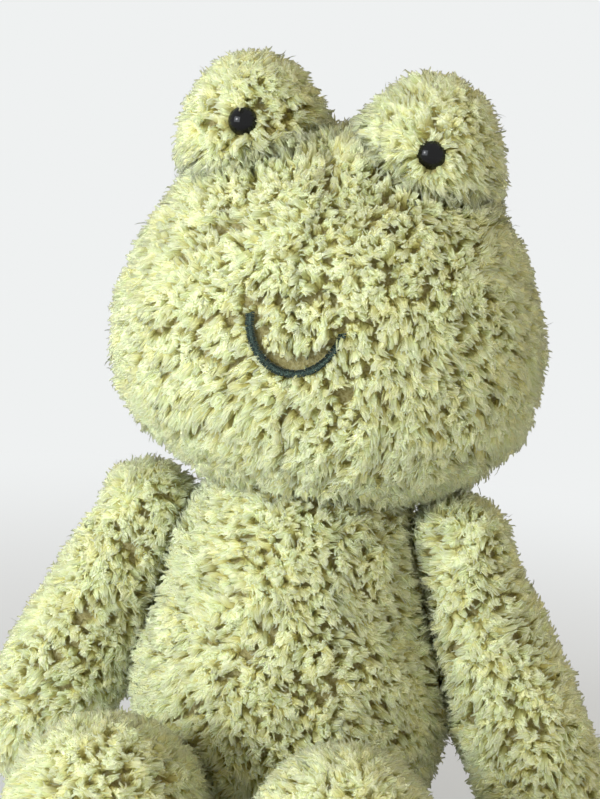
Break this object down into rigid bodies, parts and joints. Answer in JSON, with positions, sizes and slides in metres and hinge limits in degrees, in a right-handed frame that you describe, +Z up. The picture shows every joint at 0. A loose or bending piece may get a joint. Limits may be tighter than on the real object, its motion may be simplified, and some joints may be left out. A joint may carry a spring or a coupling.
{
  "type": "plush frog",
  "caption": "Sitting soft toy frog in long curly green pile, with bead eyes on round mounds, a stitched smile, and a head, arms and legs that move on their seams.",
  "frame": {"origin": "on the floor under the middle of the seat, at the middle of the seat's flat rest face", "axes": "+Z up, -Y the way the frog faces, +X towards the frog's own left"},
  "size_m": [0.2096, 0.1651, 0.2527],
  "materials": {
    "pile": "long curly pile, soft and matte",
    "fibre": "loose white fibre",
    "pouch_cloth": "plain woven cloth",
    "bead": "polished",
    "washer": "moulded",
    "stitch_thread": "satin stitch with a slight sheen",
    "seam_thread": "matte sewing thread"
  },
  "bodies": {
    "torso": {"torso_front_panel": "pile", "torso_back_panel": "pile", "seat_panel": "pile", "torso_filling": "fibre", "bean_pouch": "pouch_cloth"},
    "neck_seam": {"neck_thread": "seam_thread"},
    "head": {"head_front_panel": "pile", "head_back_panel": "pile", "head_filling": "fibre", "smile_stitching": "stitch_thread", "left_eye_mound": "pile", "right_eye_mound": "pile", "left_mound_filling": "fibre", "right_mound_filling": "fibre", "left_eye": "bead", "right_eye": "bead", "left_eye_washer": "washer", "right_eye_washer": "washer"},
    "left_shoulder_seam": {"left_shoulder_thread": "seam_thread"},
    "left_arm": {"left_arm_front_panel": "pile", "left_arm_back_panel": "pile", "left_arm_filling": "fibre"},
    "right_shoulder_seam": {"right_shoulder_thread": "seam_thread"},
    "right_arm": {"right_arm_front_panel": "pile", "right_arm_back_panel": "pile", "right_arm_filling": "fibre"},
    "left_hip_seam": {"left_hip_thread": "seam_thread"},
    "left_leg": {"left_leg_outer_panel": "pile", "left_leg_inner_panel": "pile", "left_leg_filling": "fibre"},
    "right_hip_seam": {"right_hip_thread": "seam_thread"},
    "right_leg": {"right_leg_outer_panel": "pile", "right_leg_inner_panel": "pile", "right_leg_filling": "fibre"}
  },
  "joints": [
    {"name": "head_turn", "type": "hinge", "parent": "torso", "child": "neck_seam", "pos_m": [0, 0, 0.088], "axis": [0, 0, 1], "range_deg": [-35, 35]},
    {"name": "head_nod", "type": "hinge", "parent": "neck_seam", "child": "head", "pos_m": [0, 0, 0.088], "axis": [1, 0, 0], "range_deg": [-10, 10]},
    {"name": "left_arm_swing", "type": "hinge", "parent": "torso", "child": "left_shoulder_seam", "pos_m": [0.05164, 0, 0.10379], "axis": [-0.9563, 0, -0.2924], "range_deg": [-30, 90]},
    {"name": "left_arm_lift", "type": "hinge", "parent": "left_shoulder_seam", "child": "left_arm", "pos_m": [0.05164, 0, 0.10379], "axis": [0, -1, 0], "range_deg": [0, 45]},
    {"name": "right_arm_swing", "type": "hinge", "parent": "torso", "child": "right_shoulder_seam", "pos_m": [-0.05164, 0, 0.10379], "axis": [-0.9563, 0, 0.2924], "range_deg": [-30, 90]},
    {"name": "right_arm_lift", "type": "hinge", "parent": "right_shoulder_seam", "child": "right_arm", "pos_m": [-0.05164, 0, 0.10379], "axis": [0, 1, 0], "range_deg": [0, 45]},
    {"name": "left_leg_splay", "type": "hinge", "parent": "torso", "child": "left_hip_seam", "pos_m": [0.02749, -0.04777, 0.027], "axis": [0, 0, 1], "range_deg": [-8, 8]},
    {"name": "left_leg_raise", "type": "hinge", "parent": "left_hip_seam", "child": "left_leg", "pos_m": [0.02749, -0.04777, 0.027], "axis": [-0.9703, -0.2419, 0], "range_deg": [-25, 15]},
    {"name": "right_leg_splay", "type": "hinge", "parent": "torso", "child": "right_hip_seam", "pos_m": [-0.02749, -0.04777, 0.027], "axis": [0, 0, -1], "range_deg": [-8, 8]},
    {"name": "right_leg_raise", "type": "hinge", "parent": "right_hip_seam", "child": "right_leg", "pos_m": [-0.02749, -0.04777, 0.027], "axis": [-0.9703, 0.2419, 0], "range_deg": [-25, 15]}
  ]
}
